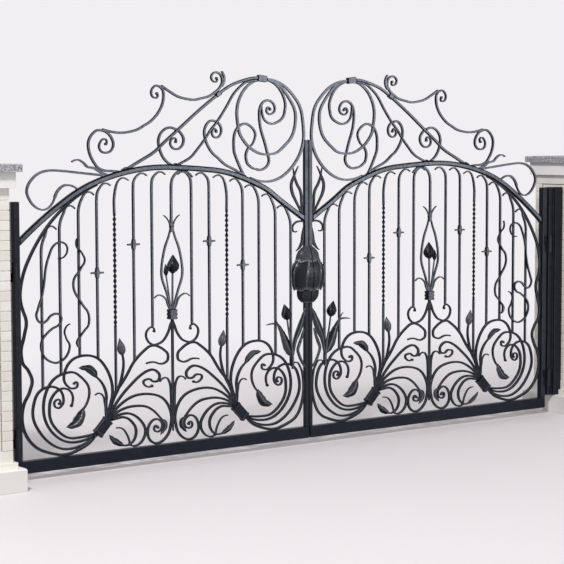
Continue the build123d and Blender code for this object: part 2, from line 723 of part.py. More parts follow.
with BuildPart() as lily_spray:
    for points, widths in (
        ([(142, 560), (150, 680), (172, 800), (191, 900)], (20, 18, 14, 12)),
        ([(157, 632), (172, 668), (190, 706), (212, 756), (238, 812), (268, 864)],
         (8, 62, 74, 64, 48, 32, 16)),
        ([(262, 860), (316, 872), (372, 866)], (18, 11, 4)),
        ([(268, 862), (282, 888), (302, 914)], (14, 9, 3)),
        ([(27, 968), (50, 904), (70, 854), (93, 804), (120, 748), (132, 691), (144, 628)],
         (4, 38, 50, 52, 38, 26, 20)),
        ([(44, 820), (60, 770), (84, 714), (97, 676), (83, 630), (55, 577), (26, 545)],
         (10, 20, 24, 22, 20, 18, 14)),
    ):
        forge(points, widths, depth=layer, forward=front_layer)
    bud((188, 892), (216, 1002), 30, forward=front_layer)
    add(meeting_stile.part, mode=Mode.SUBTRACT)
    add(bouquets["middle_bouquet"].part, mode=Mode.SUBTRACT)
    add(wave_bar.part, mode=Mode.SUBTRACT)

with BuildPart() as top_lily:
    for points, widths in (
        ([(34, 1600), (75, 1669), (120, 1745), (142, 1820), (118, 1890), (80, 1958)],
         (16, 16, 22, 20, 4)),
        ([(50, 1610), (54, 1700), (60, 1775), (100, 1848), (126, 1946)],
         (14, 16, 20, 18, 3)),
        ([(26, 1568), (70, 1574), (112, 1562), (133, 1530), (120, 1503), (95, 1505)],
         (14, 14, 12, 8)),
        ([(26, 1545), (40, 1490), (58, 1410), (104, 1366)], (16, 22, 24, 3)),
    ):
        forge(points, widths, depth=14)
    for carrier in (meeting_stile, arch_rail, crest_ovals, plain_bars):
        add(carrier.part, mode=Mode.SUBTRACT)

# ---- Lock cover: a drooping flower in two halves, one on each leaf ----

cup_rings = ((1004, 62, 44), (1026, 84, 54), (1088, 92, 58))
petal_rings = (
    (1088, 116, 62), (1130, 132, 68), (1200, 140, 70), (1248, 138, 70), (1290, 124, 66),
    (1310, 106, 60),
)
calyx_rings = ((1310, 96, 58), (1335, 93, 57), (1368, 72, 48), (1402, 32, 26))

with BuildPart() as lock_cover:
    for rings in (cup_rings, petal_rings, calyx_rings):
        for up, half_width, half_depth in rings:
            height = place((grid_meeting_face, up)).imag
            with BuildSketch(Plane(origin=(gate_middle_x, 0, height))):
                Ellipse(half_width, half_depth)
        loft(ruled=True)
    split(bisect_by=mirror_plane.offset(-leaf_edge), keep=Keep.BOTTOM)
    add(meeting_stile.part, mode=Mode.SUBTRACT)
    add(top_lily.part, mode=Mode.SUBTRACT)
    add(plain_bars.part, mode=Mode.SUBTRACT)

# ---- Hinges: the post carries the pins and the leaf the sockets ----

with BuildPart() as hinge_pins:
    for height in hinge_heights:
        with BuildSketch(Plane(origin=(pin_x, -pin_forward, height - knuckle_height))):
            Circle(knuckle_radius)
        extrude(amount=knuckle_height)
        slab(
            (pin_x - strap_reach, -post_strap_back - strap_thickness, height - knuckle_height),
            (pin_x, -post_strap_back, height),
        )
        with BuildSketch(Plane(origin=(pin_x, -pin_forward, height))):
            Circle(pin_radius)
        extrude(amount=knuckle_height - 8)
        with BuildSketch(Plane(origin=(pin_x, -pin_forward, height))):
            Circle(knuckle_radius - 3)
        extrude(amount=knuckle_gap)

with BuildPart() as hinge_sockets:
    for height in hinge_heights:
        base = height + knuckle_gap
        with BuildSketch(Plane(origin=(pin_x, -pin_forward, base))):
            Circle(knuckle_radius)
        extrude(amount=knuckle_height)
        slab(
            (pin_x, -hinge_stile_depth / 2 - strap_thickness, base),
            (pin_x + strap_reach, -hinge_stile_depth / 2, base + knuckle_height),
        )
        with BuildSketch(Plane(origin=(pin_x, -pin_forward, base))):
            Circle(pin_radius + pin_clearance)
        extrude(amount=knuckle_height - 8, mode=Mode.SUBTRACT)

left_pieces = {
    "hinge_stile": hinge_stile,
    "meeting_stile": meeting_stile,
    "bottom_rail": bottom_rail,
    "arch_rail": arch_rail,
    "wave_bar": wave_bar,
    "plain_bars": plain_bars,
    "knuckle_bars": knuckle_bars,
    "twisted_bars": twisted_bars,
    "bouquet_collars": bouquet_collars,
    "bouquet_leaves": bouquet_leaves,
    "centre_scrolls": centre_scrolls,
    "tulip_basket": tulip_basket,
    "crest_rails": crest_rails,
    "crest_ovals": crest_ovals,
    "crest_scrolls": crest_scrolls,
    "crest_loops": crest_loops,
    "hinge_ribbon": hinge_ribbon,
    "lily_spray": lily_spray,
    "top_lily": top_lily,
    "lock_cover": lock_cover,
    "hinge_sockets": hinge_sockets,
    **bouquets,
}
left_posts = {
    "plinth": plinth,
    "shaft": shaft_notched,
    "cornice": cornice,
    "cap": cap,
    "hinge_post": hinge_post,
    "hinge_pins": hinge_pins,
}
for name, piece in {**left_posts, **left_pieces}.items():
    piece.part.label = "left_" + name
    export_step(piece.part, f"parts/left_{name}.step")
    with BuildPart() as twin:
        mirror(piece.part, about=mirror_plane)
    twin.part.label = "right_" + name
    export_step(twin.part, f"parts/right_{name}.step")
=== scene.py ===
import bmesh
import bpy
import math
import random
from mathutils import Matrix, Vector


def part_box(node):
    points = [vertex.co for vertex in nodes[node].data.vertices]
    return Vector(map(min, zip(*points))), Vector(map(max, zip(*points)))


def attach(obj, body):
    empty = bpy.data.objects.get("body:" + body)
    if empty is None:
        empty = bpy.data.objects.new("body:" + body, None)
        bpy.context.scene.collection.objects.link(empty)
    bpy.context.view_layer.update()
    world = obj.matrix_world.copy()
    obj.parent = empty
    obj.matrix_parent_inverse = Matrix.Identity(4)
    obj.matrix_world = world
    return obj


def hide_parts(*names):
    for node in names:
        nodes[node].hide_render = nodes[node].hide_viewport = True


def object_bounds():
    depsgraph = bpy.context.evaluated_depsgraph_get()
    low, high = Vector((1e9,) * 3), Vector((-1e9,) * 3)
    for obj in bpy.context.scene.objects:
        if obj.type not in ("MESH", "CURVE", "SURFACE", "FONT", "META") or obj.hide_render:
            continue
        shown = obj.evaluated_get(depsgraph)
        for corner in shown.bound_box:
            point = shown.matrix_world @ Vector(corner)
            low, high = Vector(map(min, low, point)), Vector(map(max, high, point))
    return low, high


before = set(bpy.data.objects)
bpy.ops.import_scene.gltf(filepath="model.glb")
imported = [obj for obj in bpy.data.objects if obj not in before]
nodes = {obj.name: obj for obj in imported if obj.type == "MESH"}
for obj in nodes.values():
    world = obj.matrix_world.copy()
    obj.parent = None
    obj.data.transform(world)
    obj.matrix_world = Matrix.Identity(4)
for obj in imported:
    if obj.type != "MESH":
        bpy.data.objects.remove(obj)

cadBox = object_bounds()
sides = ("left", "right")
groundZ = cadBox[0][2]
meetingX = (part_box("left_meeting_stile")[1].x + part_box("right_meeting_stile")[0].x) / 2
print("frame loaded:", len(nodes), "nodes")


def addNode(tree, kind, **values):
    node = tree.nodes.new(kind)
    for name, value in values.items():
        if name in node.inputs.keys():
            node.inputs[name].default_value = value
        else:
            setattr(node, name, value)
    return node


def link(tree, source, target):
    tree.links.new(source, target)


def newGroup(name, inputs, outputs):
    group = bpy.data.node_groups.new(name, "ShaderNodeTree")
    for label, kind, value in inputs:
        socket = group.interface.new_socket(label, in_out="INPUT", socket_type=kind)
        socket.default_value = value
    for label, kind in outputs:
        group.interface.new_socket(label, in_out="OUTPUT", socket_type=kind)
    return group, group.nodes.new("NodeGroupInput"), group.nodes.new("NodeGroupOutput")


def useGroup(tree, group, **values):
    node = tree.nodes.new("ShaderNodeGroup")
    node.node_tree = group
    for label, value in values.items():
        node.inputs[label].default_value = value
    return node


def newMaterial(name):
    material = bpy.data.materials.new(name)
    material.use_nodes = True
    tree = material.node_tree
    shader = tree.nodes["Principled BSDF"]
    coords = addNode(tree, "ShaderNodeTexCoord")
    return material, tree, shader, coords


# blotches: a slow change between two tones, with a finer one on top
def buildBlotches():
    group, given, made = newGroup(
        "blotches",
        [("Vector", "NodeSocketVector", (0, 0, 0)), ("Scale", "NodeSocketFloat", 4.0),
         ("Fine", "NodeSocketFloat", 40.0), ("Low", "NodeSocketFloat", 0.4),
         ("High", "NodeSocketFloat", 0.6)],
        [("Mask", "NodeSocketFloat"), ("Fine", "NodeSocketFloat")])
    slow = addNode(group, "ShaderNodeTexNoise", Detail=3.0, Roughness=0.55)
    fine = addNode(group, "ShaderNodeTexNoise", Detail=2.0, Roughness=0.6)
    spread = addNode(group, "ShaderNodeMapRange", interpolation_type="SMOOTHSTEP")
    link(group, given.outputs["Vector"], slow.inputs["Vector"])
    link(group, given.outputs["Scale"], slow.inputs["Scale"])
    link(group, given.outputs["Vector"], fine.inputs["Vector"])
    link(group, given.outputs["Fine"], fine.inputs["Scale"])
    link(group, slow.outputs["Fac"], spread.inputs["Value"])
    link(group, given.outputs["Low"], spread.inputs["From Min"])
    link(group, given.outputs["High"], spread.inputs["From Max"])
    link(group, spread.outputs["Result"], made.inputs["Mask"])
    link(group, fine.outputs["Fac"], made.inputs["Fine"])
    return group


# hammerMarks: the shallow facets that a hammer leaves on a bar
hammer = {
    "softness": 0.6,        # of the ridges between facets
    "grit": 180.0,
    "gritShare": 0.25,
    "rubReach": 0.9,        # how far from its middle a facet is rubbed
    "rubLeast": 0.55,
}


def buildHammerMarks():
    group, given, made = newGroup(
        "hammerMarks",
        [("Vector", "NodeSocketVector", (0, 0, 0)), ("Scale", "NodeSocketFloat", 60.0)],
        [("Height", "NodeSocketFloat"), ("Rub", "NodeSocketFloat")])
    facets = addNode(group, "ShaderNodeTexVoronoi", feature="SMOOTH_F1",
                     Smoothness=hammer["softness"])
    wobble = addNode(group, "ShaderNodeTexNoise", Scale=hammer["grit"], Detail=2.0)
    blend = addNode(group, "ShaderNodeMath", operation="MULTIPLY_ADD")
    blend.inputs[1].default_value = hammer["gritShare"]
    rub = addNode(group, "ShaderNodeMapRange")
    rub.inputs["From Max"].default_value = hammer["rubReach"]
    rub.inputs["To Min"].default_value = 1.0
    rub.inputs["To Max"].default_value = hammer["rubLeast"]
    link(group, given.outputs["Vector"], facets.inputs["Vector"])
    link(group, given.outputs["Scale"], facets.inputs["Scale"])
    link(group, given.outputs["Vector"], wobble.inputs["Vector"])
    link(group, wobble.outputs["Fac"], blend.inputs[0])
    link(group, facets.outputs["Distance"], blend.inputs[2])
    link(group, blend.outputs["Value"], made.inputs["Height"])
    link(group, facets.outputs["Distance"], rub.inputs["Value"])
    link(group, rub.outputs["Result"], made.inputs["Rub"])
    return group


# The front and back faces take the patina while the sides stay dark: painted highlight on the
# faces, painted shade on the sides.
# An arris is the eased edge between a face and a side; its lightening is partly worn edges and
# partly painted highlight lines.
arris = {"side": (0.20, 0.55), "front": (0.995, 0.94)}


def buildLitFrontFaces():
    group, given, made = newGroup(
        "litFrontFaces",
        [("Normal", "NodeSocketVector", (0, 0, 0)), ("From", "NodeSocketFloat", 0.5),
         ("To", "NodeSocketFloat", 1.0)],
        [("Mask", "NodeSocketFloat"), ("Arris", "NodeSocketFloat")])
    axes = addNode(group, "ShaderNodeSeparateXYZ")
    flat = addNode(group, "ShaderNodeMath", operation="ABSOLUTE")
    spread = addNode(group, "ShaderNodeMapRange", interpolation_type="SMOOTHSTEP")
    offSide = addNode(group, "ShaderNodeMapRange", interpolation_type="SMOOTHSTEP")
    offSide.inputs["From Min"].default_value = arris["side"][0]
    offSide.inputs["From Max"].default_value = arris["side"][1]
    offFront = addNode(group, "ShaderNodeMapRange", interpolation_type="SMOOTHSTEP")
    offFront.inputs["From Min"].default_value = arris["front"][0]
    offFront.inputs["From Max"].default_value = arris["front"][1]
    eased = addNode(group, "ShaderNodeMath", operation="MULTIPLY")
    link(group, given.outputs["Normal"], axes.inputs["Vector"])
    link(group, axes.outputs["Y"], flat.inputs[0])
    link(group, flat.outputs["Value"], spread.inputs["Value"])
    link(group, given.outputs["From"], spread.inputs["From Min"])
    link(group, given.outputs["To"], spread.inputs["From Max"])
    link(group, flat.outputs["Value"], offSide.inputs["Value"])
    link(group, flat.outputs["Value"], offFront.inputs["Value"])
    link(group, offSide.outputs["Result"], eased.inputs[0])
    link(group, offFront.outputs["Result"], eased.inputs[1])
    link(group, spread.outputs["Result"], made.inputs["Mask"])
    link(group, eased.outputs["Value"], made.inputs["Arris"])
    return group


blotches = buildBlotches()
hammerMarks = buildHammerMarks()
litFrontFaces = buildLitFrontFaces()

# dark paint, rubbed on the front faces as patina with a painted highlight, the sides left dark as
# painted shade;
# bright on worn arrises and spots, partly painted highlight; climb: lighter only from the first
# height up to the second, with this share below
ironFinishes = {
    "wrought_iron": dict(dark=(0.003, 0.004, 0.008, 1), rubbedAndLit=(0.185, 0.203, 0.244, 1),
                         bright=(0.42, 0.44, 0.48, 1), litRange=(0.95, 1.0), arris=0.0,
                         metallic=0.20, specular=0.10, rough=(0.26, 0.40), dents=0.30,
                         dentSize=45.0),
    # darker copy of wrought_iron for the lower ornament: painted shade
    "shaded_iron": dict(dark=(0.002, 0.003, 0.006, 1), rubbedAndLit=(0.026, 0.031, 0.042, 1),
                           bright=(0.46, 0.49, 0.54, 1), litRange=(0.90, 1.0), arris=0.3,
                           metallic=0.15, specular=0.08, rough=(0.26, 0.38), dents=0.35,
                           dentSize=50.0),
    "forged_ornament": dict(dark=(0.002, 0.003, 0.006, 1), rubbedAndLit=(0.018, 0.022, 0.032, 1),
                            bright=(0.46, 0.49, 0.54, 1), litRange=(0.70, 1.0), arris=0.0,
                            metallic=0.20, specular=0.16, rough=(0.24, 0.38), dents=0.40,
                            dentSize=60.0),
    "stile_steel": dict(dark=(0.005, 0.007, 0.013, 1), rubbedAndLit=(0.034, 0.040, 0.056, 1),
                        bright=(0.12, 0.13, 0.15, 1), litRange=(0.6, 1.0), arris=0.5,
                        metallic=0.05, specular=0.12, rough=(0.33, 0.42), dents=0.05,
                        dentSize=25.0),
    "meeting_steel": dict(dark=(0.006, 0.008, 0.014, 1), rubbedAndLit=(0.155, 0.178, 0.222, 1),
                          bright=(0.26, 0.28, 0.32, 1), litRange=(0.6, 1.0), arris=0.8,
                          metallic=0.05, specular=0.12, rough=(0.33, 0.42), dents=0.05,
                          dentSize=25.0, climb=(0.85, 1.5, 0.12)),
    "frame_steel": dict(dark=(0.004, 0.006, 0.012, 1), rubbedAndLit=(0.013, 0.017, 0.029, 1),
                        bright=(0.06, 0.066, 0.08, 1), litRange=(0.6, 1.0), arris=0.1,
                        metallic=0.05, specular=0.12, rough=(0.34, 0.42), dents=0.05,
                        dentSize=25.0),
    "post_steel": dict(dark=(0.003, 0.005, 0.010, 1), rubbedAndLit=(0.012, 0.016, 0.027, 1),
                       bright=(0.10, 0.11, 0.13, 1), litRange=(0.6, 1.0), arris=0.4,
                       metallic=0.05, specular=0.25, rough=(0.24, 0.34), dents=0.03,
                       dentSize=25.0),
    "hinge_steel": dict(dark=(0.003, 0.005, 0.009, 1), rubbedAndLit=(0.012, 0.015, 0.022, 1),
                        bright=(0.24, 0.25, 0.27, 1), litRange=(0.6, 1.0), arris=0.1,
                        metallic=0.1, specular=0.20, rough=(0.30, 0.42), dents=0.10,
                        dentSize=40.0),
}


ironPatches = {"size": 2.2, "fine": 60.0, "low": 0.2, "high": 0.7, "least": 0.6, "dent": 0.002}


def ironMaterial(name, finish):
    material, tree, shader, coords = newMaterial(name)
    patches = useGroup(tree, blotches, Scale=ironPatches["size"], Fine=ironPatches["fine"],
                       Low=ironPatches["low"], High=ironPatches["high"])
    marks = useGroup(tree, hammerMarks, Scale=finish["dentSize"])
    faces = useGroup(tree, litFrontFaces, From=finish["litRange"][0], To=finish["litRange"][1])
    link(tree, coords.outputs["Object"], patches.inputs["Vector"])
    link(tree, coords.outputs["Object"], marks.inputs["Vector"])
    link(tree, coords.outputs["Normal"], faces.inputs["Normal"])
    uneven = addNode(tree, "ShaderNodeMapRange")
    uneven.inputs["To Min"].default_value = ironPatches["least"]
    link(tree, patches.outputs["Mask"], uneven.inputs["Value"])
    wiped = addNode(tree, "ShaderNodeMath", operation="MULTIPLY")
    link(tree, uneven.outputs["Result"], wiped.inputs[0])
    link(tree, marks.outputs["Rub"], wiped.inputs[1])
    if "climb" in finish:
        place = addNode(tree, "ShaderNodeSeparateXYZ")
        climb = addNode(tree, "ShaderNodeMapRange", interpolation_type="SMOOTHSTEP")
        for socket, value in zip(("From Min", "From Max", "To Min"), finish["climb"]):
            climb.inputs[socket].default_value = value
        lower = wiped
        wiped = addNode(tree, "ShaderNodeMath", operation="MULTIPLY")
        link(tree, coords.outputs["Object"], place.inputs["Vector"])
        link(tree, place.outputs["Z"], climb.inputs["Value"])
        link(tree, lower.outputs["Value"], wiped.inputs[0])
        link(tree, climb.outputs["Result"], wiped.inputs[1])
    # front faces take the rubbed tone, a painted highlight, and the sides keep the dark, a painted
    # shade
    share = addNode(tree, "ShaderNodeMath", operation="MULTIPLY", use_clamp=True)
    link(tree, wiped.outputs["Value"], share.inputs[0])
    link(tree, faces.outputs["Mask"], share.inputs[1])
    tone = addNode(tree, "ShaderNodeMix", data_type="RGBA")
    tone.inputs["A"].default_value = finish["dark"]
    tone.inputs["B"].default_value = finish["rubbedAndLit"]
    link(tree, share.outputs["Value"], tone.inputs["Factor"])
    # arrises and marked spots turn bright: worn edges, partly painted highlight
    wornAndLit = addNode(tree, "ShaderNodeAttribute", attribute_name="wornAndLit")
    edgeWornAndLit = addNode(tree, "ShaderNodeMath", operation="MULTIPLY_ADD")
    edgeWornAndLit.inputs[1].default_value = finish["arris"]
    link(tree, faces.outputs["Arris"], edgeWornAndLit.inputs[0])
    link(tree, wornAndLit.outputs["Fac"], edgeWornAndLit.inputs[2])
    edge = addNode(tree, "ShaderNodeMath", operation="MULTIPLY", use_clamp=True)
    link(tree, edgeWornAndLit.outputs["Value"], edge.inputs[0])
    link(tree, wiped.outputs["Value"], edge.inputs[1])
    shown = addNode(tree, "ShaderNodeMix", data_type="RGBA")
    shown.inputs["B"].default_value = finish["bright"]
    link(tree, edge.outputs["Value"], shown.inputs["Factor"])
    link(tree, tone.outputs["Result"], shown.inputs["A"])
    link(tree, shown.outputs["Result"], shader.inputs["Base Color"])
    rough = addNode(tree, "ShaderNodeMapRange")
    rough.inputs["To Min"].default_value = finish["rough"][0]
    rough.inputs["To Max"].default_value = finish["rough"][1]
    link(tree, patches.outputs["Fine"], rough.inputs["Value"])
    link(tree, rough.outputs["Result"], shader.inputs["Roughness"])
    bump = addNode(tree, "ShaderNodeBump", Strength=finish["dents"],
                   Distance=ironPatches["dent"])
    link(tree, marks.outputs["Height"], bump.inputs["Height"])
    link(tree, bump.outputs["Normal"], shader.inputs["Normal"])
    shader.inputs["Metallic"].default_value = finish["metallic"]
    shader.inputs["Specular IOR Level"].default_value = finish["specular"]
    return material


masonryFinishes = {
    "plinth_stone": dict(light=(0.93, 0.905, 0.875, 1), dark=(0.85, 0.82, 0.785, 1),
                         rough=0.85, grain=0.25, patch=3.0, fine=260.0),
    "brick": dict(light=(0.93, 0.90, 0.855, 1), dark=(0.82, 0.78, 0.72, 1),
                  rough=0.88, grain=0.35, patch=7.0, fine=320.0),
    "mortar": dict(light=(0.70, 0.65, 0.58, 1), dark=(0.60, 0.55, 0.49, 1),
                   rough=0.92, grain=0.6, patch=9.0, fine=400.0),
    "cornice_render": dict(light=(0.93, 0.925, 0.91, 1), dark=(0.85, 0.84, 0.82, 1),
                           rough=0.82, grain=0.2, patch=3.0, fine=240.0),
}


masonryPatches = {"low": 0.35, "high": 0.65, "weather": 0.5, "ownTone": 0.6, "dent": 0.0015}


def masonryMaterial(name, finish, toned=False):
    material, tree, shader, coords = newMaterial(name)
    patches = useGroup(tree, blotches, Scale=finish["patch"], Fine=finish["fine"],
                       Low=masonryPatches["low"], High=masonryPatches["high"])
    link(tree, coords.outputs["Object"], patches.inputs["Vector"])
    tone = addNode(tree, "ShaderNodeMix", data_type="RGBA")
    tone.inputs["A"].default_value = finish["light"]
    tone.inputs["B"].default_value = finish["dark"]
    weather = addNode(tree, "ShaderNodeMath", operation="MULTIPLY")
    weather.inputs[1].default_value = masonryPatches["weather"]
    link(tree, patches.outputs["Mask"], weather.inputs[0])
    factor = weather.outputs["Value"]
    if toned:
        own = addNode(tree, "ShaderNodeAttribute", attribute_name="brickTone")
        mixed = addNode(tree, "ShaderNodeMath", operation="MULTIPLY_ADD", use_clamp=True)
        mixed.inputs[1].default_value = masonryPatches["ownTone"]
        link(tree, own.outputs["Fac"], mixed.inputs[0])
        link(tree, factor, mixed.inputs[2])
        factor = mixed.outputs["Value"]
    link(tree, factor, tone.inputs["Factor"])
    link(tree, tone.outputs["Result"], shader.inputs["Base Color"])
    bump = addNode(tree, "ShaderNodeBump", Strength=finish["grain"],
                   Distance=masonryPatches["dent"])
    link(tree, patches.outputs["Fine"], bump.inputs["Height"])
    link(tree, bump.outputs["Normal"], shader.inputs["Normal"])
    shader.inputs["Roughness"].default_value = finish["rough"]
    return material


graniteFinish = {
    "light": (0.64, 0.64, 0.66, 1),
    "middle": (0.32, 0.32, 0.34, 1),
    "dark": (0.07, 0.07, 0.08, 1),
    "darkShare": 0.28,
    "middleEnd": 0.68,
    "grainSize": 190.0,
    "cloudSize": 6.0,
    "cloudShare": 0.5,
    "fine": 300.0,
    "rough": 0.55,
}


def graniteMaterial(name):
    material, tree, shader, coords = newMaterial(name)
    grains = addNode(tree, "ShaderNodeTexVoronoi", Scale=graniteFinish["grainSize"])
    link(tree, coords.outputs["Object"], grains.inputs["Vector"])
    pick = addNode(tree, "ShaderNodeValToRGB")
    pick.color_ramp.interpolation = "CONSTANT"
    pick.color_ramp.elements[0].color = graniteFinish["dark"]
    pick.color_ramp.elements[1].position = graniteFinish["darkShare"]
    pick.color_ramp.elements[1].color = graniteFinish["middle"]
    flake = pick.color_ramp.elements.new(graniteFinish["middleEnd"])
    flake.color = graniteFinish["light"]
    split = addNode(tree, "ShaderNodeSeparateColor")
    link(tree, grains.outputs["Color"], split.inputs["Color"])
    link(tree, split.outputs["Red"], pick.inputs["Fac"])
    patches = useGroup(tree, blotches, Scale=graniteFinish["cloudSize"],
                       Fine=graniteFinish["fine"], Low=masonryPatches["low"],
                       High=masonryPatches["high"])
    link(tree, coords.outputs["Object"], patches.inputs["Vector"])
    cloud = addNode(tree, "ShaderNodeMix", data_type="RGBA")
    cloud.inputs["B"].default_value = graniteFinish["middle"]
    share = addNode(tree, "ShaderNodeMath", operation="MULTIPLY")
    share.inputs[1].default_value = graniteFinish["cloudShare"]
    link(tree, patches.outputs["Mask"], share.inputs[0])
    link(tree, share.outputs["Value"], cloud.inputs["Factor"])
    link(tree, pick.outputs["Color"], cloud.inputs["A"])
    link(tree, cloud.outputs["Result"], shader.inputs["Base Color"])
    bump = addNode(tree, "ShaderNodeBump", Strength=0.3, Distance=0.001)
    link(tree, patches.outputs["Fine"], bump.inputs["Height"])
    link(tree, bump.outputs["Normal"], shader.inputs["Normal"])
    shader.inputs["Roughness"].default_value = graniteFinish["rough"]
    return material


finishes = {name: ironMaterial(name, finish) for name, finish in ironFinishes.items()}
for name, finish in masonryFinishes.items():
    finishes[name] = masonryMaterial(name, finish, toned=name == "brick")
finishes["cap_stone"] = graniteMaterial("cap_stone")
print("materials:", len(finishes))

nodeFinishes = {
    "plinth": "plinth_stone", "shaft": "brick", "cornice": "cornice_render", "cap": "cap_stone",
    "hinge_post": "post_steel", "hinge_pins": "hinge_steel", "hinge_sockets": "hinge_steel",
    "hinge_stile": "stile_steel", "meeting_stile": "meeting_steel",
    "bottom_rail": "frame_steel", "arch_rail": "wrought_iron", "wave_bar": "shaded_iron",
    "plain_bars": "wrought_iron", "knuckle_bars": "wrought_iron",
    "twisted_bars": "wrought_iron", "bouquet_collars": "shaded_iron",
    "bouquet_leaves": "forged_ornament", "centre_scrolls": "shaded_iron",
    "tulip_basket": "wrought_iron", "crest_rails": "wrought_iron",
    "crest_ovals": "wrought_iron", "crest_scrolls": "wrought_iron",
    "crest_loops": "wrought_iron", "hinge_ribbon": "wrought_iron",
    "lily_spray": "forged_ornament", "top_lily": "forged_ornament",
    "lock_cover": "forged_ornament", "hinge_bouquet": "shaded_iron",
    "middle_bouquet": "shaded_iron",
}
edgeRadius = {
    "plinth": 0.006, "cornice": 0.004, "hinge_post": 0.004, "hinge_stile": 0.004,
    "meeting_stile": 0.003, "bottom_rail": 0.005, "arch_rail": 0.009,
    "crest_rails": 0.004, "wave_bar": 0.004,
    "tulip_basket": 0.0015, "hinge_ribbon": 0.0035, "bouquet_collars": 0.002,
}
plainEdge = 0.0025   # on every scroll and picket
weldReach = 0.00002
sharpAngle = math.radians(50)
# these keep their edges as they are; a bevel would spoil the crest's acute crossings
softEdges = ("cap", "lock_cover", "twisted_bars", "hinge_pins", "hinge_sockets",
             "shaft", "bouquet_leaves", "lily_spray", "crest_loops", "crest_ovals")


def easeEdges(piece, radius):
    weld = piece.modifiers.new("weld", "WELD")
    weld.merge_threshold = weldReach
    bevel = piece.modifiers.new("easedEdges", "BEVEL")
    bevel.width = radius
    bevel.segments = 2
    bevel.limit_method = "ANGLE"
    bevel.angle_limit = sharpAngle
    bevel.use_clamp_overlap = False
    bevel.harden_normals = False


for side in sides:
    for part, finish in nodeFinishes.items():
        piece = nodes[side + "_" + part]
        piece.data.materials.clear()
        piece.data.materials.append(finishes[finish])
        if part not in softEdges:
            easeEdges(piece, edgeRadius.get(part, plainEdge))
print("packed pieces finished")


def newPiece(name, bm, finish, body, replaced=()):
    mesh = bpy.data.meshes.new(name)
    bm.to_mesh(mesh)
    bm.free()
    piece = bpy.data.objects.new(name, mesh)
    bpy.context.scene.collection.objects.link(piece)
    mesh.materials.append(finishes[finish])
    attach(piece, body)
    if replaced:
        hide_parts(*replaced)
    return piece


def addBlock(bm, low, high):
    middle = (Vector(low) + Vector(high)) / 2
    size = Vector(high) - Vector(low)
    place = Matrix.Translation(middle) @ Matrix.Diagonal((*size, 1.0))
    return bmesh.ops.create_cube(bm, size=1.0, matrix=place)["verts"]


pillar = {
    "courseMargin": 0.022,  # the course under the bricks stands out this far
    "courseHeight": 0.038,
    "border": 0.073,        # corner and top blocks round each field
    "recess": 0.010,        # field behind the border
    "brickHeight": 0.0615,  # one brick and its joint
    "joint": 0.0045,
    "jointDepth": 0.0030,
    "edge": 0.0018,
    "cuts": (0.38, 0.62),   # where the joint between a row's two bricks is, row by row
    "brickDepth": 0.03,
    "courseTone": 0.2,
    "blockTone": 0.35,
    "mortarTop": 0.01,      # the mortar ends this far under the cornice
}


def buildPillar(side):
    low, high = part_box(side + "_shaft")
    margin = pillar["courseMargin"]
    border = pillar["border"]
    half = pillar["joint"] / 2
    foot = low.z + pillar["courseHeight"]
    low = Vector((low.x + margin, low.y + margin, foot))
    high = Vector((high.x - margin, high.y - margin, high.z))
    middle = (low + high) / 2
    reach = (high.x - low.x) / 2
    rows = round((high.z - low.z - 2 * border) / pillar["brickHeight"])
    rise = (high.z - low.z - 2 * border) / rows
    random.seed(len(side))
    bricks = bmesh.new()
    toneLayer = bricks.verts.layers.float.new("brickTone")

    def brick(lowCorner, highCorner, tone=None):
        tone = random.random() if tone is None else tone
        for vert in addBlock(bricks, lowCorner, highCorner):
            vert[toneLayer] = tone

    brick((low.x - margin, low.y - margin, foot - pillar["courseHeight"]),
          (high.x + margin, high.y + margin, foot), pillar["courseTone"])
    for base, top in ((low.z, low.z + border - half), (high.z - border + half, high.z)):
        brick((low.x, low.y, base), (high.x, high.y, top), pillar["blockTone"])
    for row in range(rows):
        base = low.z + border + row * rise + half
        top = base + rise - 2 * half
        for turn in range(4):
            c, s = round(math.cos(turn * math.pi / 2)), round(math.sin(turn * math.pi / 2))

            def turned(along, out):
                pairs = [(middle.x + c * a - s * o, middle.y + s * a + c * o)
                         for a, o in zip(along, out)]
                return ((*[min(p) for p in zip(*pairs)], base),
                        (*[max(p) for p in zip(*pairs)], top))

            brick(*turned((-reach, -reach + border), (-reach, -reach + border)))
            start = -reach + border + half
            end = reach - border - half
            cut = start + (end - start) * pillar["cuts"][row % 2]
            face = -reach + pillar["recess"]
            depth = (face, face + pillar["brickDepth"])
            brick(*turned((start, cut - half), depth))
            brick(*turned((cut + half, end), depth))
    bmesh.ops.bevel(bricks, geom=bricks.edges[:], offset=pillar["edge"], affect="EDGES",
                    segments=1, profile=0.5, material=-1)
    newPiece(side + "Bricks", bricks, "brick", "posts", [side + "_shaft"])

    mortar = bmesh.new()
    deep = pillar["jointDepth"]
    inner = pillar["recess"] + deep
    mortarTop = high.z - pillar["mortarTop"]
    addBlock(mortar, (low.x + inner, low.y + inner, low.z),
             (high.x - inner, high.y - inner, mortarTop))
    for x in (low.x + deep, high.x - border):
        for y in (low.y + deep, high.y - border):
            addBlock(mortar, (x, y, low.z),
                     (x + border - deep, y + border - deep, mortarTop))
    newPiece(side + "Mortar", mortar, "mortar", "posts")


for side in sides:
    buildPillar(side)
print("pillars built")


# A sheet of faces is laid out flat and each of its points is moved to its place:
# u runs along it from 0 to 1, and v across it from -1 to 1.
def layGrid(bm, rows, columns, place):
    before = set(bm.verts)
    bmesh.ops.create_grid(bm, x_segments=columns, y_segments=rows, size=1.0)
    verts = [vert for vert in bm.verts if vert not in before]
    wornAndLitLayer = bm.verts.layers.float["wornAndLit"]
    for vert in verts:
        spot, wornAndLit = place((vert.co.y + 1) / 2, vert.co.x)
        vert.co = spot
        vert[wornAndLitLayer] = wornAndLit
    return verts


